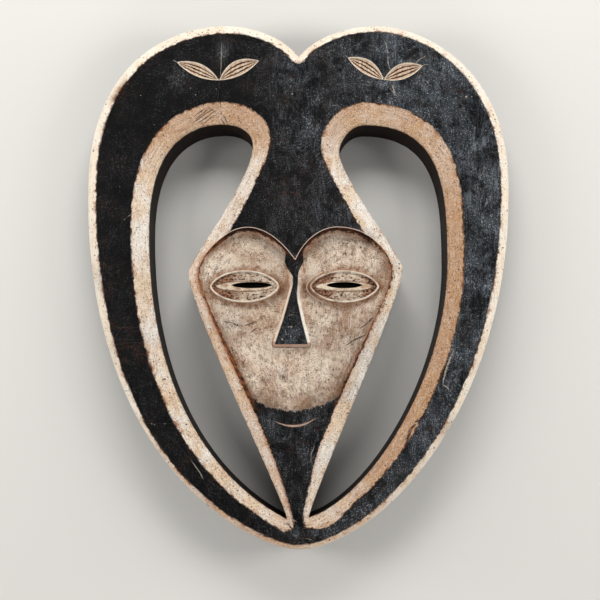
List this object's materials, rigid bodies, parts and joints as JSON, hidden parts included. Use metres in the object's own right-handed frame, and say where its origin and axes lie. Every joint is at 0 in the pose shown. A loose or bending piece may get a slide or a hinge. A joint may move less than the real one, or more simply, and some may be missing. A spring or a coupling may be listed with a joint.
{
  "type": "kwele horned mask",
  "caption": "Heart-shaped wooden spirit mask: two broad horns curve down and round to meet under a carved face with slit eyes and a wedge nose.",
  "frame": {"origin": "under the middle of the mask's box, on the surface that its flat back lies on", "axes": "+X to the right as the face is looked at, +Y from the chin to the tops of the horns, +Z out of the face"},
  "size_m": [0.4252, 0.526, 0.05],
  "materials": {
    "painted_wood": "satin"
  },
  "bodies": {
    "root": {"mask": "painted_wood"}
  },
  "joints": []
}
